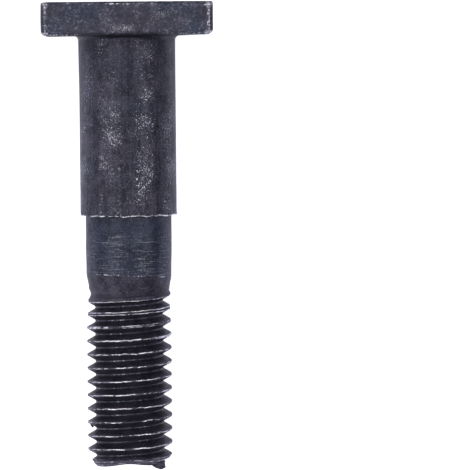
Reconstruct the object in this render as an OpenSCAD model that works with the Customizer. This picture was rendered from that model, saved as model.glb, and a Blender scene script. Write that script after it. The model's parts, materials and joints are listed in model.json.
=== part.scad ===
/* [Head] */
// Length of the head along its long side
head_w = 15.7; // [13:0.1:22]
// Depth of the head across its short side
head_d = 12; // [11:0.5:16]
// Thickness of the head
head_t = 3.1; // [2:0.1:5]
// Radius of the four upright corners
corner_r = 0.7; // [0.3:0.1:1.2]
// Radius of the edges round the outer face
outer_edge_r = 0.2; // [0.1:0.05:0.5]
// Radius of the worn edges round the underside
under_edge_r = 0.55; // [0.2:0.05:0.8]

/* [Shoulder] */
// Diameter of the shoulder, which fills the guide bar's slot
shoulder_dia = 8.9; // [8.4:0.1:9.4]
// Length of the shoulder, from under the head
shoulder_len = 16.5; // [8:0.5:30]
// Radius of the fillet between head and shoulder
head_fillet_r = 0.4; // [0.1:0.05:0.5]

/* [Neck] */
// Diameter of the turned neck
neck_dia = 8; // [7.7:0.1:8.3]
// Length of the turned neck
neck_len = 5.6; // [2:0.2:12]
// Radius of the fillet between shoulder and neck
neck_fillet_r = 0.15; // [0.05:0.05:0.3]
// Length of the taper from the neck down to the thread
taper_len = 0.9; // [0.4:0.1:3]

/* [Thread] */
// Diameter over the crests
thread_dia = 7.84; // [7.7:0.02:8]
// Distance from one crest to the next
pitch = 1.25; // [1:0.05:1.5]
// Length from the end of the taper to the tip
thread_len = 16.6; // [8:0.2:30]
// Diameter of the blank that the thread is rolled on
blank_dia = 7.36; // [7.1:0.02:7.5]
// Plain length between the taper and the first crest
relief_len = 0.8; // [0.3:0.05:1.5]
// Step that the rolling die leaves where the taper ends
die_step = 0.06; // [0.02:0.01:0.1]
// Turns over which the groove sinks to its full depth
groove_turns = 0.6; // [0.3:0.1:2]
// Turns over which the crest rises to its full height
crest_turns = 3.5; // [1:0.5:5]

/* [Tip] */
// Diameter of the end face
tip_dia = 6.6; // [6.3:0.1:7]
// Angle of the worn end, from the end face
tip_angle = 50; // [30:5:60]
// Diameter of the shallow dish in the end face
dish_dia = 4.6; // [2:0.2:5.6]
// Depth of the dish
dish_depth = 0.35; // [0.1:0.05:0.6]
// Thickness of the rolled-over flap that hangs from the end of the thread
flap_t = 0.5; // [0.3:0.05:0.7]
// How far the flap stands out past the end face
flap_len = 0.45; // [0.3:0.05:0.6]
// Place of the flap round the tip, anticlockwise from the right
flap_angle = 35; // [0:5:90]
// Width of the flap, as an angle round the tip
flap_spread = 24; // [10:2:40]

/* [Hidden] */
$fn = 64;

// Facets in one turn of the thread, a multiple of four
turn_steps = 32;
// Depth of the rolled thread, as a share of its pitch
depth_share = 0.64;
// Half of the angle between the flanks
flank_angle = 30;
// How far the rounded root sinks below the ends of the flanks
root_sag = 0.06;

// Places along the axis, from the outer face of the head
shoulder_end = head_t + shoulder_len;
neck_end = shoulder_end + neck_len;
taper_end = neck_end + taper_len;
first_crest = taper_end + relief_len;
tip = taper_end + thread_len;

shoulder_r = shoulder_dia / 2;
neck_r = neck_dia / 2;
blank_r = blank_dia / 2;
taper_r = blank_r + die_step;
tip_r = tip_dia / 2;
dish_r = dish_dia / 2;
dish_ball_r = (dish_r ^ 2 + dish_depth ^ 2) / (2 * dish_depth);

// One thread, as points of [distance along the axis, radius]
crest_r = thread_dia / 2;
root_r = crest_r - depth_share * pitch;
crest_flat = pitch / 8;
flank_run = (crest_r - root_r - root_sag) * tan(flank_angle);
flank_foot = crest_flat / 2 + flank_run;
profile = [
    [-crest_flat / 2, crest_r],
    [crest_flat / 2, crest_r],
    [flank_foot, root_r + root_sag],
    [pitch / 2, root_r],
    [pitch - flank_foot, root_r + root_sag]
];
rows = len(profile);

// Turns of thread hidden inside the neck, and in all
lead_turns = ceil(relief_len / pitch) + 1;
all_turns = lead_turns + ceil((tip - first_crest) / pitch) + 1;
last_step = all_turns * turn_steps;

// The bolt lies on the back edge of its head and on the last crest that is whole below
worn_len = (crest_r - tip_r) / tan(tip_angle);
lowest_turn = floor((tip - worn_len - first_crest) / pitch - 0.75) + 0.75;
rest_crest = first_crest + lowest_turn * pitch + crest_flat / 2;
rest_run = rest_crest - head_t + under_edge_r;
rest_drop = head_d / 2 - under_edge_r - crest_r;
rest_tilt = atan2(rest_drop, rest_run) + asin(under_edge_r / norm([rest_drop, rest_run]));
rest_height = crest_r * cos(rest_tilt) + rest_crest * sin(rest_tilt);

// Middle of the flap, and the lying bolt's two ends
flap_r = tip_r - flap_t / 2;
flap_z = tip + flap_len - flap_t / 2;
head_reach = (head_d / 2 - outer_edge_r) * sin(rest_tilt) - outer_edge_r * cos(rest_tilt) + outer_edge_r;
tip_reach = flap_r * sin(flap_angle) * sin(rest_tilt) + flap_z * cos(rest_tilt) + flap_t / 2;

// Share of a thread's height or depth that is reached after some turns
function grown(turns, over) = min(max((turns + relief_len / pitch) / over, 0), 1);

// Radius of the rolled blank where the whole thread has radius r
function rolled_r(r, turns) =
    blank_r + (r - blank_r) * grown(turns, r > blank_r ? crest_turns : groove_turns);

// Largest radius that the worn end leaves at a place along the axis
function worn_r(z) = max(tip_r + (tip - z) * tan(tip_angle), tip_r / 2);

// Point of the thread on one row of the profile, after some turns
function thread_point(row, turns) =
    let (z = first_crest + turns * pitch + profile[row][0])
    let (r = min(rolled_r(profile[row][1], turns), worn_r(z)))
    [r * cos(360 * turns), r * sin(360 * turns), z];

// Number of a point, where the row past the last is the first row one turn later
function point_at(step, row) =
    row < rows ? step * rows + row : (step + turn_steps) * rows + row - rows;

// Last step at which a row has a row beside it
function row_end(row) = row < rows - 1 ? last_step : last_step - turn_steps;

// Rectangle standing on its middle, with rounded lower and upper corners
module rounded_outline(w, h, low_r, high_r) {
    translate([-w / 2, low_r])
        square([w, h - low_r - high_r]);
    translate([low_r - w / 2, 0])
        square([w - 2 * low_r, h / 2]);
    translate([high_r - w / 2, h / 2])
        square([w - 2 * high_r, h / 2]);
    for (side = [-1, 1]) {
        translate([side * (w / 2 - low_r), low_r])
            circle(low_r);
        translate([side * (w / 2 - high_r), h - high_r])
            circle(high_r);
    }
}

// Flat rectangular head, rounded as seen from above, from the front and from the side
module head() {
    intersection() {
        translate([0, -head_d / 2, 0])
            linear_extrude(head_t)
                rounded_outline(head_w, head_d, corner_r, corner_r);
        rotate([90, 0, 0])
            linear_extrude(head_d, center = true)
                rounded_outline(head_w, head_t, outer_edge_r, under_edge_r);
        rotate([90, 0, 90])
            linear_extrude(head_w, center = true)
                rounded_outline(head_d, head_t, outer_edge_r, under_edge_r);
    }
}

// Quarter-round fillet in the corner at a radius and a place along the axis
module fillet_outline(r, z, fillet_r) {
    difference() {
        translate([r, z])
            square(fillet_r);
        translate([r + fillet_r, z + fillet_r])
            circle(fillet_r);
    }
}

// Shoulder, neck and taper, turned about the axis
module shank() {
    rotate_extrude() {
        polygon([
            [0, head_t],
            [shoulder_r, head_t],
            [shoulder_r, shoulder_end],
            [neck_r, shoulder_end],
            [neck_r, neck_end],
            [taper_r, taper_end],
            [0, taper_end]
        ]);
        fillet_outline(shoulder_r, head_t, head_fillet_r);
        fillet_outline(neck_r, shoulder_end, neck_fillet_r);
    }
}

// Right-hand thread that grows out of the taper and is worn down at the tip
module thread() {
    side_points = [
        for (step = [0:last_step], row = [0:rows - 1])
            thread_point(row, step / turn_steps - lead_turns)
    ];
    first_ring = concat(
        [for (step = [0:turn_steps]) point_at(step, 0)],
        [for (row = [rows - 1:-1:1]) point_at(0, row)]
    );
    last_ring = concat(
        [for (step = [last_step - turn_steps:last_step]) point_at(step, rows - 1)],
        [for (row = [rows - 2:-1:0]) point_at(last_step, row)]
    );
    first_middle = len(side_points);
    last_middle = first_middle + 1;
    side_faces = [
        for (row = [0:rows - 1], step = [0:row_end(row) - 1], half = [0, 1])
            half == 0
                ? [point_at(step, row), point_at(step, row + 1), point_at(step + 1, row)]
                : [point_at(step + 1, row), point_at(step, row + 1), point_at(step + 1, row + 1)]
    ];
    first_faces = [
        for (i = [0:len(first_ring) - 1])
            [first_ring[i], first_ring[(i + 1) % len(first_ring)], first_middle]
    ];
    last_faces = [
        for (i = [0:len(last_ring) - 1])
            [last_ring[(i + 1) % len(last_ring)], last_ring[i], last_middle]
    ];
    middles = [
        [0, 0, first_crest - (lead_turns - 0.5) * pitch],
        [0, 0, first_crest + (all_turns - lead_turns) * pitch]
    ];
    polyhedron(concat(side_points, middles), concat(side_faces, first_faces, last_faces), convexity = 20);
}

// Flap of metal that the rolling die squeezed out over the edge of the tip
module flap() {
    hull()
        for (side = [-1, 0, 1])
            rotate(flap_angle + side * flap_spread / 2)
                translate([flap_r, 0, flap_z - abs(side) * flap_len / 2])
                    sphere(d = flap_t, $fn = 16);
}

// Places the bolt on its side, with the head away, the tip near and the outer face upright
module lay_down() {
    translate([0, (tip_reach - head_reach) / 2, rest_height])
        rotate([90 + rest_tilt, 0, 0])
            children();
}

module bar_bolt() {
    color("#3b3c46")
        lay_down() {
            head();
            shank();
            difference() {
                intersection() {
                    thread();
                    cylinder(tip, r = thread_dia);
                }
                translate([0, 0, tip + dish_ball_r - dish_depth])
                    sphere(dish_ball_r);
            }
            flap();
        }
}

bar_bolt();
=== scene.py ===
import json
import math
import bmesh
import bpy
from mathutils import Matrix, Vector, noise


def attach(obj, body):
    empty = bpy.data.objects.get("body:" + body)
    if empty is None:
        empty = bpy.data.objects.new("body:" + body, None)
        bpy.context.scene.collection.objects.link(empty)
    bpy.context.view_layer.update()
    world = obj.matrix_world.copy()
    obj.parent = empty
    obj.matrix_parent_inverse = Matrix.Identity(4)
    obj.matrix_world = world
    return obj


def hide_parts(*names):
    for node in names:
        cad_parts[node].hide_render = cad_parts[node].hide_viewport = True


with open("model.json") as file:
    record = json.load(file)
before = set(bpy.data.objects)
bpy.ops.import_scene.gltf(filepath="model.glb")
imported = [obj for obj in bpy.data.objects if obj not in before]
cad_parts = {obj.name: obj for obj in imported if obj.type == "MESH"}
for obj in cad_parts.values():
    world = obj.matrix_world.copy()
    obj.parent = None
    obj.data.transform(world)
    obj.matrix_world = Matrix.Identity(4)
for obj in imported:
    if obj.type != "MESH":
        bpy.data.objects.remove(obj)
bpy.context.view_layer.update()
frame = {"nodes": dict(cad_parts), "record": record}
mounts = {mount["name"]: mount for mount in frame["record"]["mounts"]}
mm = 0.001
print("frame loaded:", ", ".join(frame["nodes"]))


# The bolt is shaped in its own frame, in millimetres: x to the right, y up, z from head to tip

def smoothStep(value, low, high):
    share = min(max((value - low) / (high - low), 0.0), 1.0)
    return share * share * (3 - 2 * share)


def hump(value, middle, width):
    return math.exp(-((value - middle) / width) ** 2)


def ripple(point, size, seed):
    return noise.noise(point / size + Vector((seed, 2.3 * seed, 0.7 * seed)))


def arcPoints(center, radius, fromDeg, toDeg, count):
    points = []
    for i in range(count + 1):
        angle = math.radians(fromDeg + (toDeg - fromDeg) * i / count)
        points.append((center[0] + radius * math.cos(angle), center[1] + radius * math.sin(angle)))
    return points


def straightPoints(start, end, spacing):
    count = max(1, round(math.dist(start, end) / spacing))
    points = []
    for i in range(1, count + 1):
        share = i / count
        points.append((start[0] + (end[0] - start[0]) * share, start[1] + (end[1] - start[1]) * share))
    return points


def drawOutline(bm, points):
    verts = [bm.verts.new((radius, 0.0, z)) for radius, z in points]
    edges = [bm.edges.new(pair) for pair in zip(verts, verts[1:])]
    return verts + edges


def spinRound(bm, outline, steps):
    bmesh.ops.spin(bm, geom=outline, cent=(0, 0, 0), axis=(0, 0, 1), dvec=(0, 0, 0),
                   angle=2 * math.pi, steps=steps, use_merge=True)


def cutAcross(bm, geom, place, normal, clear=False):
    bmesh.ops.bisect_plane(bm, geom=geom, dist=1e-5, plane_co=place, plane_no=normal, clear_outer=clear)


def wholeGeom(bm):
    return bm.verts[:] + bm.edges[:] + bm.faces[:]


def edgesWhere(bm, test):
    return [edge for edge in bm.edges if all(test(vert.co) for vert in edge.verts)]


def openLoop(bm, z):
    return [edge for edge in edgesWhere(bm, lambda co: abs(co.z - z) < 0.002) if edge.is_boundary]


head = {
    "wide": 15.7,
    "deep": 12.0,
    "thick": 3.1,
    "cornerRound": 0.7,
    "underRound": 0.55,
    "outerRound": 0.2,
    "grid": 0.35,           # spacing of the loop cuts that carry dents
    "forged": 0.05,         # deepest hollow that forging leaves in a face
    "nick": 0.06,           # deepest nick in an edge
    "lean": 0.06,           # the underside is out of square by this at each end
    "highlightIn": 0.42,        # worn bright strip where the front turns into each end, partly a painted highlight of the lamps
    "highlightWidth": 0.16,
    "knocks": ((-0.8, 2.4, 2.0, 0.35), (3.2, 1.2, 0.6, 0.2)),  # places and sizes of brighter patches
}


def makeHead(bm):
    h = head
    size = Matrix.Diagonal((h["wide"], h["deep"], h["thick"], 1))
    bmesh.ops.create_cube(bm, size=1.0, matrix=Matrix.Translation((0, 0, h["thick"] / 2)) @ size)
    upright = [e for e in bm.edges if abs(e.verts[0].co.z - e.verts[1].co.z) > 1]
    bmesh.ops.bevel(bm, geom=upright, offset=h["cornerRound"], segments=6, profile=0.5,
                    affect="EDGES", material=-1)
    under = edgesWhere(bm, lambda co: abs(co.z - h["thick"]) < 1e-4)
    bmesh.ops.bevel(bm, geom=under, offset=h["underRound"], segments=5, profile=0.5,
                    affect="EDGES", material=-1)
    outer = edgesWhere(bm, lambda co: abs(co.z) < 1e-4)
    bmesh.ops.bevel(bm, geom=outer, offset=h["outerRound"], segments=3, profile=0.5,
                    affect="EDGES", material=-1)
    seat = [f for f in bm.faces if f.normal.z > 0.99 and f.calc_center_median().z > h["thick"] - 1e-3]
    bmesh.ops.delete(bm, geom=seat, context="FACES_ONLY")
    for axis, length in enumerate((h["wide"], h["deep"], h["thick"])):
        count = int(length / h["grid"])
        for i in range(1, count):                            # loop cuts across the whole block
            place, normal = Vector(), Vector()
            place[axis] = length * (i / count - (0.0 if axis == 2 else 0.5))
            normal[axis] = 1.0
            cutAcross(bm, wholeGeom(bm), place, normal)


def headSurface(co):
    h = head
    ends, front = h["wide"] / 2 - abs(co.x), h["deep"] / 2 - abs(co.y)
    under = h["thick"] - co.z
    rim = min(co.z, under)
    edge = 1 - smoothStep(sorted((ends, front, rim))[1], 0.1, 0.6)
    corner = 1 - smoothStep(max(ends - 0.3, front, rim), 0.25, 0.7)
    # Painted highlight, partly wear: bare steel where the round into each end mirrors the lamps, wider and
    # brighter on the right
    highlightWidth = h["highlightWidth"] * (1.0 if co.x < 0 else 1.12)
    wornHighlight = hump(ends, h["highlightIn"], highlightWidth) * (1 - smoothStep(front, 0.3, 0.7))
    outerLine = (0.56 + 0.4 * hump(co.x, -1.1, 1.0)) * hump(co.z, 0.22, 0.1)
    underLine = 0.9 * hump(under, 0.1, 0.08) * smoothStep(abs(co.x), 3.8, 4.8)
    knock = sum(hump(co.x, x, wide) * hump(co.z, z, tall) for x, z, wide, tall in h["knocks"])
    # Painted shade along the head's ends and round its outer face, which dims their reflection of the paper
    edgeShade = 0.7 * max(1 - smoothStep(ends, 0.12, 0.3), 1 - smoothStep(co.z, 0.06, 0.16))
    # Painted shade where the head meets the shoulder, darkest in the middle
    jointShade = 0.8 * (1 - smoothStep(under, 0.05, 0.35)) * (1 - smoothStep(abs(co.x), 2.0, 4.5))
    marks = {
        "wear": max((0.7 if co.x < 0 else 0.98) * wornHighlight, outerLine, underLine, 0.85 * corner, 0.5 * edge),
        "burnish": 0.72 + 0.5 * wornHighlight + 0.7 * knock,
        "forged": 1.0,
        "paintedShade": max(jointShade, edgeShade * (1 - smoothStep(front, 0.2, 0.6))),
    }
    sink = math.copysign(1 - smoothStep(rim, 0, 0.5), h["thick"] / 2 - co.z)
    push = Vector((-math.copysign(1 - smoothStep(ends, 0, 0.7), co.x),
                   -math.copysign(1 - smoothStep(front, 0, 0.7), co.y),
                   sink * (0.3 + 0.7 * smoothStep(co.z, 0.3, 0.8))))
    hollow = 0.5 + 0.5 * ripple(co, 2.2, 3)
    chip = smoothStep(ripple(co, 0.7, 8), 0.15, 0.6) * edge
    move = push * (h["forged"] * hollow + h["nick"] * chip)
    move.z -= h["lean"] * co.x / (h["wide"] / 2) * smoothStep(co.z, 1.5, 3.0)
    seat = math.hypot(co.x, co.y) < shank["shoulderRadius"] + 0.6 and under < 0.05
    return marks, Vector() if seat else move


shank = {
    "shoulderRadius": mounts["shoulder"]["dims"]["r_mm"],
    "headFillet": 0.4,
    "shoulderEnd": 19.6,
    "torn": 0.09,           # how far the shoulder's edge wanders along the axis
    "burr": 0.07,           # and how far it stands out
    "neckRadius": 3.97,
    "neckFillet": 0.15,
    "turnedFrom": 21.5,     # from here the turning marks are at their full strength
    "neckWaist": 22.6,      # where the neck starts to draw in
    "waistDrop": 0.04,
    "neckEnd": 25.2,
    "endSlant": 0.19,       # the neck's end sits lower on the right
    "endLift": 0.15,        # and higher at the front
    "taperEnd": 26.1,
    "taperRadius": 3.76,
    "joint": 26.2,          # where the thread's mesh takes over
    "swell": 0.05,          # the shoulder is a little fuller on the left near the head
    "dent": 0.012,
    "bend": 0.045,          # the shank leans by a hair past the shoulder
    "scuffs": ((-1.2, 6.6), (1.7, 8.6), (-1.3, 10.3), (1.4, 11.0), (-1.75, 12.4), (1.5, 14.8)),
    "around": 240,          # facets round the axis
    "rings": 0.25,          # spacing of rings along the axis
}


def makeShank(bm):
    s = shank
    fillet, under = s["headFillet"], head["thick"]
    r, end = s["shoulderRadius"], s["shoulderEnd"]
    neck, nf = s["neckRadius"], s["neckFillet"]
    waist = neck - s["waistDrop"]
    points = arcPoints((r + fillet, under + fillet), fillet, 270, 180, 6)
    points += straightPoints(points[-1], (r, end - 0.4), s["rings"])
    points += straightPoints(points[-1], (r, end - 0.05), 0.07)
    points += [(r - 0.01, end - 0.015), (r - 0.05, end)]
    points += straightPoints(points[-1], (neck + nf, end), 0.12)
    points += arcPoints((neck + nf, end + nf), nf, 270, 180, 4)[1:]
    points += straightPoints(points[-1], (neck, s["neckWaist"]), s["rings"])
    points += straightPoints(points[-1], (waist, s["neckEnd"] - 0.1), s["rings"])
    points += straightPoints(points[-1], (waist, s["neckEnd"] + 0.05), 0.05)
    points += straightPoints(points[-1], (s["taperRadius"], s["taperEnd"]), 0.1)
    points.append((thread["blankRadius"] + thread["flare"], s["joint"]))
    spinRound(bm, drawOutline(bm, points), s["around"])


def shankSurface(co):
    s = shank
    radius = math.hypot(co.x, co.y)
    outward = Vector((co.x, co.y, 0)) / radius
    move = outward * s["dent"] * (ripple(co, 1.4, 5) - 0.6)
    rim = hump(co.z, s["shoulderEnd"] - 0.03, 0.12)
    rim *= smoothStep(radius, s["neckRadius"] + 0.2, s["shoulderRadius"])
    wear = hump(co.z, s["neckEnd"] - 0.02, 0.035) * (1.0 + 0.7 * ripple(co, 1.0, 17))
    if rim > 0.01:
        ragged = ripple(co, 0.55, 11) + 0.5 * ripple(co, 0.25, 12)
        rightBurr = 1.2 * hump(co.y, 0.0, 1.5) * (co.x > 0)
        move += outward * s["burr"] * rim * (ragged - 0.25 + rightBurr)
        move.z += s["torn"] * rim * (ripple(co, 0.8, 14) + ripple(co, 0.3, 16))
        wear = hump(co.z, s["shoulderEnd"], 0.11) * (1.2 + 1.3 * ripple(co, 0.4, 15))
        wear *= smoothStep(radius, s["shoulderRadius"] - 0.2, s["shoulderRadius"] - 0.06)
    slant = s["endSlant"] * co.x / s["neckRadius"] - s["endLift"] * max(0.0, co.y / radius)
    move.z += slant * hump(co.z, s["neckEnd"], 0.8)
    move.x += 0.03 * hump(co.z, s["taperEnd"] + 0.3, 0.5)
    move.x -= s["swell"] * (1 - smoothStep(co.z, 4.0, 9.0)) * max(0.0, -co.x / radius)
    scuffed = max(hump(co.x, x, 0.6) * hump(co.z, z, 0.8) for x, z in s["scuffs"]) * (co.y > 0)
    scuffed = max(scuffed, 0.7 * smoothStep(abs(co.x), 3.2, 4.1), 0.5 * hump(co.x, -3.3, 0.5))
    # Painted shade: the head's shadow on the shoulder's sides near the head, and a darker right side along
    # the shoulder for a dark reflection
    edgeShade = (0.15 if co.x < 0 else 0.35) * smoothStep(abs(co.x), 3.0, 4.0)
    edgeShade *= 1 - smoothStep(co.z, 4.5, 7.5)
    neck = smoothStep(co.z, s["shoulderEnd"], s["shoulderEnd"] + 0.2)
    edgeShade = max(edgeShade, 0.16 * smoothStep(co.x, 3.4, 4.1) * (1 - neck))
    taper = smoothStep(co.z, s["neckEnd"] - 0.2, s["neckEnd"] + 0.2)
    turned = smoothStep(co.z, s["shoulderEnd"] + 0.1, s["turnedFrom"])
    turned *= 1 - smoothStep(co.z, s["neckEnd"] - 0.1, s["neckEnd"] + 0.1)
    # Painted shade at the top of the shoulder, where it meets the head
    jointShade = 0.8 * (1 - smoothStep(co.z - head["thick"], 0.1, 0.35)) * (1 - smoothStep(abs(co.x), 2.0, 4.5))
    marks = {
        "wear": wear,
        "turned": turned,
        "burnish": 0.68 + 0.17 * smoothStep(co.z, 4.5, 10.0) - 0.65 * neck + 0.3 * scuffed,
        "paintedShade": max(jointShade, edgeShade),
        "drawn": 0.5 + 0.1 * smoothStep(co.z, 5.0, 12.0) - 0.3 * neck,
        "blued": neck - taper,
        "violet": 2.0 * taper,
    }
    return marks, move


thread = {
    "crestRadius": mounts["thread"]["dims"]["r_mm"],
    "pitch": 1.25,
    "depth": 0.8,
    "crestFlat": 0.16,
    "flankDeg": 30,
    "blankRadius": 3.68,
    "flare": 0.065,         # blank still drawing in where the taper ends
    "firstCrest": 26.9,     # on the right-hand side
    "relief": 0.8,
    "grooveTurns": 0.6,
    "crestTurns": 3.0,
    "seam": 0.07,           # fold between the two lips of an unfinished crest
    "startLip": 0.1,
    "tipCut": 42.85,
    "tipRadius": 3.1,
    "wornFrom": 41.95,      # from here the end is worn and rolled over
    "lastCrest": 3.54,      # on the left, where the end is worn most
    "folds": (41.97, 42.45),  # creases in the rolled-over end
    "foldDepth": 0.06,
    "chipped": 42.22,       # bare spot at the right of the worn end
    "endCuts": 12,          # loop cuts that round the worn end
    "tipEnd": 42.66,
    "leftLonger": 0.19,
    "frontDip": 0.23,
    "stepsPerTurn": 120,
}


def threadOutline():
    t = thread
    half = t["crestFlat"] / 2
    crest, root = t["crestRadius"], t["crestRadius"] - t["depth"]
    slope = math.tan(math.radians(t["flankDeg"]))
    side = [(crest, 0.0), (crest, half * 0.5), (crest - 0.005, half * 0.85)]
    for share in (0.05, 0.12, 0.2, 0.35, 0.55, 0.75, 0.9):
        side.append((crest - t["depth"] * share, half + t["depth"] * share * slope))
    foot, rootZ = side[-1][1], t["pitch"] / 2
    side.append((root + 0.022, foot + (rootZ - foot) * 0.45))
    side.append((root, rootZ))
    return [(r, -z) for r, z in reversed(side[1:])] + side


def crestPlace(co):
    t = thread
    angle = math.atan2(co.y, co.x) / (2 * math.pi)
    along = (co.z - t["firstCrest"]) / t["pitch"] - angle
    turn = math.floor(along + 0.5)
    return turn + angle, (along - turn) * t["pitch"]         # turns so far, distance from that crest


def grownShare(turns, over):
    return min(max((turns + thread["relief"] / thread["pitch"]) / over, 0.0), 1.0)


def rolledRadius(radius, z, turns, off):
    t = thread
    blank = t["blankRadius"] + t["flare"] * (1 - smoothStep(z, shank["taperEnd"], shank["taperEnd"] + 0.6))
    if radius < t["blankRadius"]:
        depth = grownShare(turns - (1 if off < 0 else 0), t["grooveTurns"])
        return blank + (radius - t["blankRadius"]) * depth
    height = grownShare(turns, t["crestTurns"])
    top = blank + (t["crestRadius"] - t["blankRadius"]) * height
    top += t["startLip"] * hump(turns, 0.0, 0.13) * hump(off, 0.02, 0.2)
    fold = t["seam"] * (1 - smoothStep(height, 0.6, 1.0)) * smoothStep(turns, 0.4, 0.9)
    return min(max(radius, blank), top) - fold * hump(off, 0.0, 0.06)


def wornRadius(co):
    t = thread
    left = max(0.0, -co.x / math.hypot(co.x, co.y)) ** 2
    rounded = t["tipRadius"] + 0.75 * max(t["tipCut"] - co.z, 0.0) ** 0.78
    if co.z > t["wornFrom"]:
        rounded = min(rounded, t["lastCrest"] + 1 - left)
    return rounded - t["foldDepth"] * max(hump(co.z, fold, 0.06) for fold in t["folds"])


def endAt(angle):
    left = max(0.0, -math.cos(angle)) ** 2
    dip = hump(math.degrees(angle), 92.0, 28.0)
    return thread["tipEnd"] + thread["leftLonger"] * left - thread["frontDip"] * dip


def makeThread(bm):
    t = thread
    leadTurns = 2
    allTurns = leadTurns + math.ceil((t["tipCut"] - t["firstCrest"]) / t["pitch"]) + 1
    lowest = t["firstCrest"] - leadTurns * t["pitch"]
    outline = drawOutline(bm, [(r, lowest + z) for r, z in threadOutline()])
    bmesh.ops.spin(bm, geom=outline, cent=(0, 0, 0), axis=(0, 0, 1),
                   dvec=(0, 0, t["pitch"] / t["stepsPerTurn"]), angle=2 * math.pi,
                   steps=t["stepsPerTurn"], use_merge=False)
    oneTurn = wholeGeom(bm)
    for i in range(1, allTurns):
        copied = bmesh.ops.duplicate(bm, geom=oneTurn)["geom"]
        bmesh.ops.translate(bm, vec=(0, 0, i * t["pitch"]),
                            verts=[v for v in copied if isinstance(v, bmesh.types.BMVert)])
    bmesh.ops.remove_doubles(bm, verts=bm.verts[:], dist=0.004)
    for i in range(t["endCuts"]):
        near = [f for f in bm.faces if f.calc_center_median().z > t["wornFrom"] - 0.45]
        parts = near + list({e for f in near for e in f.edges}) + list({v for f in near for v in f.verts})
        cutAcross(bm, parts, (0, 0, t["tipCut"] - 0.07 * i - 0.02), (0, 0, 1))
    for vert in bm.verts:
        turns, off = crestPlace(vert.co)
        radius = math.hypot(vert.co.x, vert.co.y)
        grown = min(rolledRadius(radius, vert.co.z, turns, off), wornRadius(vert.co))
        vert.co.x *= grown / radius
        vert.co.y *= grown / radius
    cutAcross(bm, wholeGeom(bm), (0, 0, shank["joint"]), (0, 0, -1), clear=True)
    cutAcross(bm, wholeGeom(bm), (0, 0, t["tipCut"]), (0, 0, 1), clear=True)
    closeTip(bm)


def closeTip(bm):
    t = thread
    loop = openLoop(bm, t["tipCut"])
    rings = ((0.95, 0.0), (0.86, -0.03), (0.72, -0.15), (0.5, -0.28), (0.25, -0.34))
    last = 1.0
    for share, sink in rings:                                # shallow dish that rolling leaves
        grown = bmesh.ops.extrude_edge_only(bm, edges=loop)["geom"]
        for vert in (v for v in grown if isinstance(v, bmesh.types.BMVert)):
            vert.co.x *= share / last
            vert.co.y *= share / last
            vert.co.z = t["tipCut"] + sink
        loop = [e for e in grown if isinstance(e, bmesh.types.BMEdge)]
        last = share
    bmesh.ops.edgeloop_fill(bm, edges=loop)
    start = t["wornFrom"] + 0.05
    for vert in bm.verts:                                    # the end is bent out of true
        if vert.co.z > start:
            end = endAt(math.atan2(vert.co.y, vert.co.x))
            vert.co.z = start + (vert.co.z - start) * (end - start) / (t["tipCut"] - start)


def threadSurface(co):
    t = thread
    radius = max(math.hypot(co.x, co.y), 0.1)
    outward = Vector((co.x, co.y, 0)) / radius
    turns, off = crestPlace(co)
    height = grownShare(turns, t["crestTurns"])
    top = smoothStep(radius, t["blankRadius"] - 0.05, t["blankRadius"] + 0.1)
    unfinished = 1 - smoothStep(turns, 2.8, 3.7)
    lip = hump(abs(off), 0.07 + 0.14 * (1 - height), 0.04) * (1 if off > 0 else smoothStep(turns, 0.5, 0.8))
    astray = 0.06 * ripple(co, 0.5, 33)
    flat = max(hump(off, astray, 0.05) * top * smoothStep(turns, 1.7, 2.5), 1.2 * lip * unfinished)
    flat *= smoothStep(turns, -0.15, 0.1)
    dull = 0.35 * smoothStep(-co.x / radius, 0.85, 1.0)
    patchy = 0.5 * ripple(co, 1.3, 31) + 0.7 * ripple(co, 0.4, 36)
    crest = flat * (1.1 + patchy - dull + 0.3 * hump(turns, 0.3, 0.4))
    above = radius - (t["crestRadius"] - t["depth"])
    # Bare specks along the root, partly a painted highlight that the root's rounding catches
    root = smoothStep(abs(off), 0.5, 0.6) * (1 - smoothStep(above, 0.03, 0.13))
    end = endAt(math.atan2(co.y, co.x))
    # Bare lines near the worn end, partly painted glints along its creases
    rim = 0.8 * max(hump(co.z, end - back, 0.05) for back in (0.15, 0.42, 0.7))
    rim *= smoothStep(radius, 2.7, 3.0) * (1.1 + 0.6 * ripple(co, 0.5, 35))
    rim = max(rim, 0.95 * hump(co.z, t["chipped"], 0.2) * smoothStep(co.x, 2.6, 3.0))
    rim = max(rim, 0.75 * smoothStep(co.z, end + 0.3, end + 0.45))
    band = smoothStep(co.z, t["wornFrom"] - 0.25, t["wornFrom"] + 0.05)
    # Painted shade on the thread's flanks, deeper on the left, kept off the roots and the worn end
    flankShade = (0.25 + 0.2 * max(0.0, -co.x / radius)) * smoothStep(turns, -0.5, 0.5)
    flankShade *= smoothStep(abs(off), 0.1, 0.2) * (1 - max(root, band))
    # Painted shade along the bottom edge of the worn end
    under = 0.7 * hump(co.z, end, 0.08) * smoothStep(radius, 2.5, 2.8)
    marks = {
        "wear": max(crest * (1 - band), 0.4 * root, rim),
        "turned": 0.8 * band,
        "burnish": max(1.2 * root, 0.4 * band),
        "forged": 0.5 * band,
        "paintedShade": max(flankShade, under),
        "violet": 2.0,
    }
    move = outward * 0.035 * flat * (ripple(co, 0.45, 21) - 0.5)
    move.z += flat * (0.04 * ripple(co, 0.9, 23) + 0.06 * ripple(co, 0.3, 24))
    move.x += 0.03 * hump(co.z, shank["taperEnd"] + 0.3, 0.5)
    return marks, move


flap = {                    # tongue that the rolling die squeezed out over the end
    "places": ((2.0, 2.1, 42.55), (2.35, 1.85, 42.82), (2.8, 1.55, 43.01),
               (3.12, 1.3, 42.9), (3.05, 1.2, 42.5)),
    "radius": 0.13,
}

burr = {                    # splinter hanging from a crest on the left
    "places": ((-3.62, 0.0, 39.0), (-3.48, 0.05, 39.22)),
    "radius": 0.1,
}


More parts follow.
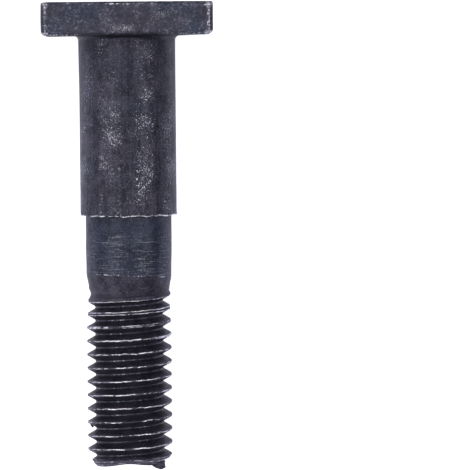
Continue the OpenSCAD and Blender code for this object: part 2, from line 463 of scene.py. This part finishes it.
def makeScrap(bm, scrap):
    for place in scrap["places"]:
        bmesh.ops.create_icosphere(bm, subdivisions=2, radius=scrap["radius"],
                                   matrix=Matrix.Translation(place))
    bmesh.ops.delete(bm, geom=bm.edges[:] + bm.faces[:], context="EDGES_FACES")
    bmesh.ops.convex_hull(bm, input=bm.verts[:])
    inside = [vert for vert in bm.verts if not vert.link_faces]
    bmesh.ops.delete(bm, geom=inside, context="VERTS")


def makeFlap(bm):
    makeScrap(bm, flap)


def makeBurr(bm):
    makeScrap(bm, burr)


def addPart(bm, make):
    part = bmesh.new()
    make(part)
    mesh = bpy.data.meshes.new("part")
    part.to_mesh(mesh)
    part.free()
    bm.from_mesh(mesh)
    bpy.data.meshes.remove(mesh)
    print(make.__name__, "gives", len(bm.faces), "faces so far")


# Marks kept on each vertex: wear, finish and tone, and one that carries painted shade
markNames = ("wear", "turned", "burnish", "forged", "paintedShade", "drawn", "blued", "violet")


def weather(bm):
    layers = {name: bm.verts.layers.float.new(name) for name in markNames}
    moves = []
    for vert in bm.verts:
        if vert.co.z < head["thick"] + 0.01:
            marks, move = headSurface(vert.co)
        elif vert.co.z < shank["joint"] + 0.001:
            marks, move = shankSurface(vert.co)
        else:
            marks, move = threadSurface(vert.co)
        moves.append(move)
        for name, value in marks.items():
            vert[layers[name]] = value
    for vert, move in zip(bm.verts, moves):
        move.x -= shank["bend"] * smoothStep(vert.co.z, 19.0, 30.0)
        vert.co += move


def placeBolt():
    tipward = Vector(mounts["shoulder"]["axis"])
    rightward = Vector((1.0, 0.0, 0.0))
    upward = tipward.cross(rightward)
    shoulderMiddle = (head["thick"] + shank["headFillet"] + shank["shoulderEnd"]) / 2 * mm
    start = Vector(mounts["shoulder"]["pos_m"]) - tipward * shoulderMiddle
    turn = Matrix((rightward, upward, tipward)).transposed()
    return Matrix.Translation(start) @ turn.to_4x4() @ Matrix.Scale(mm, 4)


def makeBolt(place):
    bm = bmesh.new()
    addPart(bm, makeHead)
    addPart(bm, makeShank)
    bmesh.ops.triangle_fill(bm, use_beauty=True, use_dissolve=False, edges=openLoop(bm, head["thick"]))
    addPart(bm, makeThread)
    bmesh.ops.bridge_loops(bm, edges=openLoop(bm, shank["joint"]))
    addPart(bm, makeFlap)
    addPart(bm, makeBurr)
    weather(bm)
    bmesh.ops.recalc_face_normals(bm, faces=bm.faces[:])
    print("bolt:", len(bm.faces), "faces,", sum(e.is_boundary for e in bm.edges), "open edges")
    mesh = bpy.data.meshes.new("forgedBolt")
    bm.to_mesh(mesh)
    bm.free()
    mesh.transform(place)
    mesh.polygons.foreach_set("use_smooth", [True] * len(mesh.polygons))
    mesh.set_sharp_from_angle(angle=math.radians(38))
    piece = bpy.data.objects.new("forgedBolt", mesh)
    bpy.context.scene.collection.objects.link(piece)
    return piece


def linearColor(hexText):
    channels = [int(hexText[i:i + 2], 16) / 255 for i in (1, 3, 5)]
    return [c / 12.92 if c <= 0.04045 else ((c + 0.055) / 1.055) ** 2.4 for c in channels] + [1.0]


def newMaterial(name):
    material = bpy.data.materials.new(name)
    material.use_nodes = True
    material.node_tree.nodes.clear()
    return material


def addNode(tree, kind, settings=None, links=None, out=0):
    node = tree.nodes.new("ShaderNode" + kind)
    for name, value in (settings or {}).items():
        if isinstance(name, str) and hasattr(node, name):
            setattr(node, name, value)
        else:
            node.inputs[name].default_value = value
    for name, source in (links or {}).items():
        tree.links.new(source, node.inputs[name])
    return node.outputs[out] if node.outputs else node


finish = {                  # sizes in millimetres
    "blue": "#1d2230",
    "violet": "#3a3341",
    "neckBlue": "#141e34",
    "shade": "#191b23",
    "grainLight": "#50505c",
    "scaleBlue": "#323a4b",
    "scaleBrown": "#3f3a44",
    "scaleSpeck": "#747484",
    # colour of the painted shade
    "paintedShade": "#0b0b0f",
    "dullSteel": "#9a9aa4",
    "brightSteel": "#ececf2",
    "sheenTint": "#dcdcfa",
    "tintSize": 4.0,
    "cloudSize": 1.1,
    "grainSize": 0.15,      # grain and specks are coarser than real, so that they show
    "scaleSize": 0.19,
    "streakSize": 0.25,
    "streakStretch": 12.0,
    "lineSize": 0.07,       # spacing of the turning marks
    "lineStretch": 28.0,
    "patchSize": 1.8,
    "speckSize": 0.13,
    "scuffSize": 0.21,
    "reliefSize": 0.25,
}


# Forged and turned bar under a thin black oxide: dark, satin and bluish, bare and bright where it rubs
def blackOxideSteel(place):
    f = finish
    material = newMaterial("blackOxideSteelForged")
    tree = material.node_tree
    back = place.inverted()
    held = addNode(tree, "TexCoord", out="Object")
    coords = addNode(tree, "Mapping", {"Location": back.to_translation(), "Rotation": back.to_euler(),
                                       "Scale": [1 / mm] * 3}, {"Vector": held})
    marks = {name: addNode(tree, "Attribute", {"attribute_name": name}, out="Fac") for name in markNames}

    # The oxide shifts from blue to violet in patches, the neck is bluer and the thread is violet
    tint = addNode(tree, "TexNoise", {"Scale": 1 / f["tintSize"], "Detail": 2}, {"Vector": coords})
    tint = addNode(tree, "MapRange", {"From Min": 0.38, "From Max": 0.62}, {"Value": tint})
    tint = addNode(tree, "Math", {"operation": "ADD"}, {0: tint, 1: marks["violet"]})
    oxide = addNode(tree, "Mix", {"data_type": "RGBA", 6: linearColor(f["blue"]),
                                  7: linearColor(f["violet"])}, {0: tint}, 2)
    oxide = addNode(tree, "Mix", {"data_type": "RGBA", 7: linearColor(f["neckBlue"])},
                    {0: marks["blued"], 6: oxide}, 2)

    # Turning marks run round the neck and the tip
    stretch = f["lineStretch"]
    roundAbout = addNode(tree, "VectorMath", {"operation": "DIVIDE", 1: (stretch, stretch, 1)}, {0: coords})
    lines = addNode(tree, "TexNoise", {"Scale": 1 / f["lineSize"], "Detail": 2}, {"Vector": roundAbout})
    lines = addNode(tree, "Math", {"operation": "MULTIPLY"}, {0: lines, 1: marks["turned"]})

    # Its sheen is uneven: grain, cloudy patches and, off the head, streaks along the drawn bar
    grain = addNode(tree, "TexNoise", {"Scale": 1 / f["grainSize"], "Detail": 3, "Roughness": 0.7},
                    {"Vector": coords})
    cloud = addNode(tree, "TexNoise", {"Scale": 1 / f["cloudSize"], "Detail": 3, "Roughness": 0.6},
                    {"Vector": coords})
    drawnOut = addNode(tree, "VectorMath", {"operation": "MULTIPLY", 1: (1, 1, 1 / f["streakStretch"])},
                       {0: coords})
    streak = addNode(tree, "TexNoise", {"Scale": 1 / f["streakSize"], "Detail": 2}, {"Vector": drawnOut})
    streak = addNode(tree, "Math", {"operation": "SUBTRACT", 1: 0.5}, {0: streak})
    sheen = addNode(tree, "Math", {"operation": "MULTIPLY_ADD"}, {0: streak, 1: marks["drawn"], 2: grain})
    sheen = addNode(tree, "Math", {"operation": "ADD"}, {0: sheen, 1: cloud})
    sheen = addNode(tree, "Math", {"operation": "MULTIPLY_ADD", 1: 0.15}, {0: lines, 2: sheen})
    sheen = addNode(tree, "MapRange", {"From Min": 0.74, "From Max": 1.28}, {"Value": sheen})
    oxide = addNode(tree, "Mix", {"data_type": "RGBA", 6: linearColor(f["shade"])}, {0: sheen, 7: oxide}, 2)
    light = addNode(tree, "MapRange", {"From Min": 0.55, "From Max": 0.76}, {"Value": grain})
    oxide = addNode(tree, "Mix", {"data_type": "RGBA", 7: linearColor(f["grainLight"])},
                    {0: light, 6: oxide}, 2)

    # Forging scale is paler and full of fine light specks
    scaled = addNode(tree, "Math", {"operation": "MULTIPLY", 1: 0.6}, {0: marks["forged"]})
    crust = addNode(tree, "Mix", {"data_type": "RGBA", 6: linearColor(f["scaleBlue"]),
                                  7: linearColor(f["scaleBrown"])}, {0: tint}, 2)
    oxide = addNode(tree, "Mix", {"data_type": "RGBA"}, {0: scaled, 6: oxide, 7: crust}, 2)
    scale = addNode(tree, "TexNoise", {"Scale": 1 / f["scaleSize"], "Detail": 3, "Roughness": 0.7},
                    {"Vector": coords})
    scale = addNode(tree, "MapRange", {"From Min": 0.5, "From Max": 0.68}, {"Value": scale})
    thick = addNode(tree, "MapRange", {"From Min": 0.4, "From Max": 0.6, "To Min": 0.2}, {"Value": cloud})
    scale = addNode(tree, "Math", {"operation": "MULTIPLY"}, {0: scale, 1: thick})
    scale = addNode(tree, "Math", {"operation": "MULTIPLY"}, {0: scale, 1: marks["forged"]})
    oxide = addNode(tree, "Mix", {"data_type": "RGBA", 7: linearColor(f["scaleSpeck"])},
                    {0: scale, 6: oxide}, 2)
    # Painted shade: a darker colour, less sheen and fewer bare specks where the marks call for shade
    oxide = addNode(tree, "Mix", {"data_type": "RGBA", 7: linearColor(f["paintedShade"])},
                    {0: marks["paintedShade"], 6: oxide}, 2)
    unshaded = addNode(tree, "MapRange", {"To Min": 1.0, "To Max": 0.1}, {"Value": marks["paintedShade"]})
    shine = addNode(tree, "Math", {"operation": "MULTIPLY"}, {0: sheen, 1: unshaded})
    shine = addNode(tree, "MapRange", {"To Min": 0.2, "To Max": 0.75}, {"Value": shine})

    # Burnished high spots are bare and mirror the lamps
    patch = addNode(tree, "TexNoise", {"Scale": 1 / f["patchSize"], "Detail": 3}, {"Vector": coords})
    patch = addNode(tree, "MapRange", {"From Min": 0.3, "From Max": 0.7, "To Min": -0.09, "To Max": 0.04},
                    {"Value": patch})
    handled = addNode(tree, "MapRange", {"From Max": 2.0, "To Min": -0.2, "To Max": 0.2},
                      {"Value": marks["burnish"]})
    patch = addNode(tree, "Math", {"operation": "ADD"}, {0: patch, 1: handled})
    speck = addNode(tree, "TexNoise", {"Scale": 1 / f["speckSize"], "Detail": 3, "Roughness": 0.7},
                    {"Vector": coords})
    speck = addNode(tree, "Math", {"operation": "ADD"}, {0: speck, 1: patch})
    speck = addNode(tree, "MapRange", {"From Min": 0.54, "From Max": 0.66}, {"Value": speck})
    scratch = addNode(tree, "Math", {"operation": "MULTIPLY_ADD", 1: 0.5}, {0: patch, 2: lines})
    scratch = addNode(tree, "Math", {"operation": "MULTIPLY_ADD", 1: 0.4}, {0: grain, 2: scratch})
    scratch = addNode(tree, "MapRange", {"From Min": 0.66, "From Max": 0.86, "To Max": 0.5},
                      {"Value": scratch})
    burnished = addNode(tree, "Math", {"operation": "MAXIMUM"}, {0: speck, 1: scratch})
    burnished = addNode(tree, "Math", {"operation": "MULTIPLY"}, {0: burnished, 1: unshaded})

    # Worn edges show bare steel in dashes
    scuff = addNode(tree, "TexNoise", {"Scale": 1 / f["scuffSize"], "Detail": 4, "Roughness": 0.7},
                    {"Vector": coords})
    rubbed = addNode(tree, "Math", {"operation": "MULTIPLY_ADD", 1: 0.5}, {0: marks["wear"], 2: scuff})
    rubbed = addNode(tree, "MapRange", {"From Min": 0.8, "From Max": 1.0}, {"Value": rubbed})

    # Skin and bare steel have their own gloss, and the forged head is the roughest
    relief = addNode(tree, "TexNoise", {"Scale": 1 / f["reliefSize"], "Detail": 3, "Roughness": 0.6},
                     {"Vector": coords})
    relief = addNode(tree, "Math", {"operation": "MULTIPLY_ADD", 1: 0.5}, {0: lines, 2: relief})
    skinDepth = addNode(tree, "MapRange", {"To Min": 0.04 * mm, "To Max": 0.06 * mm},
                        {"Value": marks["forged"]})
    steelDepth = addNode(tree, "MapRange", {"To Min": 0.01 * mm, "To Max": 0.2 * mm},
                         {"Value": marks["forged"]})
    skinBump = addNode(tree, "Bump", links={"Height": relief, "Distance": skinDepth})
    steelBump = addNode(tree, "Bump", links={"Height": relief, "Distance": steelDepth})
    skinRough = addNode(tree, "MapRange", {"To Min": 0.38, "To Max": 0.5}, {"Value": marks["forged"]})
    steelRough = addNode(tree, "Math", {"operation": "MULTIPLY", 1: 0.6}, {0: marks["turned"]})
    steelRough = addNode(tree, "Math", {"operation": "MAXIMUM"}, {0: steelRough, 1: rubbed})
    steelRough = addNode(tree, "MapRange", {"To Min": 0.15, "To Max": 0.4}, {"Value": steelRough})
    steelColor = addNode(tree, "Mix", {"data_type": "RGBA", 6: linearColor(f["dullSteel"]),
                                       7: linearColor(f["brightSteel"])}, {0: rubbed}, 2)
    skin = addNode(tree, "BsdfPrincipled", {"IOR": 1.5, "Specular Tint": linearColor(f["sheenTint"])},
                   {"Base Color": oxide, "Specular IOR Level": shine, "Roughness": skinRough,
                    "Normal": skinBump})
    steel = addNode(tree, "BsdfPrincipled", {"Metallic": 1.0},
                    {"Base Color": steelColor, "Roughness": steelRough, "Normal": steelBump})
    bare = addNode(tree, "Math", {"operation": "MAXIMUM"}, {0: burnished, 1: rubbed})
    both = addNode(tree, "MixShader", links={0: bare, 1: skin, 2: steel})
    addNode(tree, "OutputMaterial", links={"Surface": both})
    print("finish mixed:", material.name)
    return material


paper = {
    "reach": 2.0,           # metres to where the paper starts to turn up
    "turnUp": 0.3,
    "color": "#ececff",
    "lift": 0.78,           # what the paper adds to look white to the eye
    "mirrored": 0.08,       # and in reflections
}


def makePaper():
    p = paper
    bm = bmesh.new()
    points = [(0, 0), (p["reach"], 0)]
    points += arcPoints((p["reach"], p["turnUp"]), p["turnUp"], 270, 360, 8)[1:]
    spinRound(bm, drawOutline(bm, points), 64)
    bmesh.ops.remove_doubles(bm, verts=bm.verts[:], dist=1e-5)
    bmesh.ops.recalc_face_normals(bm, faces=bm.faces[:])
    mesh = bpy.data.meshes.new("paperSweep")
    bm.to_mesh(mesh)
    bm.free()
    sweep = bpy.data.objects.new("paperSweep", mesh)
    bpy.context.scene.collection.objects.link(sweep)
    material = newMaterial("whitePaper")                     # matt paper, evenly pale
    tree = material.node_tree
    path = addNode(tree, "LightPath").node
    mirrored = addNode(tree, "Math", {"operation": "MAXIMUM"}, {0: path.outputs["Is Glossy Ray"],
                                                                1: path.outputs["Is Transmission Ray"]})
    mirrored = addNode(tree, "Math", {"operation": "MULTIPLY", 1: p["mirrored"]}, {0: mirrored})
    lift = addNode(tree, "Math", {"operation": "MULTIPLY_ADD", 1: p["lift"]},
                   {0: path.outputs["Is Camera Ray"], 2: mirrored})
    matt = addNode(tree, "BsdfPrincipled", {"Base Color": linearColor(p["color"]), "Roughness": 1.0,
                                            "Specular IOR Level": 0.0,
                                            "Emission Color": linearColor("#ffffff")},
                   {"Emission Strength": lift})
    addNode(tree, "OutputMaterial", links={"Surface": matt})
    mesh.materials.append(material)
    print("paper laid")


camera = {
    "pixelsPerMm": 10.81,   # on the bolt's axis at the middle of the picture
    "pixels": 470,
    "above": 330.0,
    "axisPixel": 128.85,    # where the bolt's axis crosses the picture's middle row
    "middle": 21.49,        # place along the bolt that the middle row looks at
    "lean": 0.56,           # degrees that the bolt leans to the right at its tip
}


def makeCamera(place):
    c = camera
    data = bpy.data.cameras.new("copyStand")
    focal = c["pixelsPerMm"] * c["above"]
    data.sensor_width = 36.0
    data.lens = focal / c["pixels"] * data.sensor_width
    data.clip_end = 10.0
    pan = math.atan((c["pixels"] / 2 - c["axisPixel"]) / focal)
    target = place @ Vector((0, 0, c["middle"]))
    turn = Matrix.Rotation(math.radians(-c["lean"]), 4, "Z") @ Matrix.Rotation(-pan, 4, "Y")
    stand = bpy.data.objects.new("copyStand", data)
    stand.matrix_world = Matrix.Translation(target + Vector((0, 0, c["above"] * mm))) @ turn
    bpy.context.scene.collection.objects.link(stand)
    bpy.context.scene.camera = stand
    print("camera stands", c["above"], "mm above the bolt")


softboxes = {               # place and size in metres, and watts
    "leftBox": ((-0.43, 0.0, 0.42), (0.8, 0.66), 2.45),
    "rightBox": ((0.39, 0.0, 0.46), (0.3, 0.52), 1.02),
    "farBox": ((0.0, 0.46, 0.46), (0.5, 0.3), 0.9),
    "nearBox": ((0.0, -0.46, 0.46), (0.5, 0.3), 0.9),
    "topBox": ((0.0, 0.0, 1.1), (0.8, 0.8), 1.25),
}
roomLight = 0.05            # what the dim room adds


def makeLights():
    for name, (place, size, watts) in softboxes.items():
        data = bpy.data.lights.new(name, "AREA")
        data.shape = "RECTANGLE"
        data.size, data.size_y = size
        data.energy = watts
        lamp = bpy.data.objects.new(name, data)
        lamp.location = place
        lamp.rotation_euler = (-Vector(place)).to_track_quat("-Z", "Y").to_euler()
        bpy.context.scene.collection.objects.link(lamp)
    world = bpy.data.worlds.new("studio")
    world.use_nodes = True
    tree = world.node_tree
    tree.nodes.clear()
    dim = addNode(tree, "Background", {"Color": linearColor("#ffffff"), "Strength": roomLight})
    addNode(tree, "OutputWorld", links={"Surface": dim})
    bpy.context.scene.world = world
    print("lamps set:", ", ".join(softboxes))


place = placeBolt()
bolt = makeBolt(place)
bolt.data.materials.append(blackOxideSteel(place))
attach(bolt, "root")
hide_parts("bar_bolt")
makePaper()
makeCamera(place)
makeLights()
bpy.context.scene.view_settings.view_transform = "Standard"
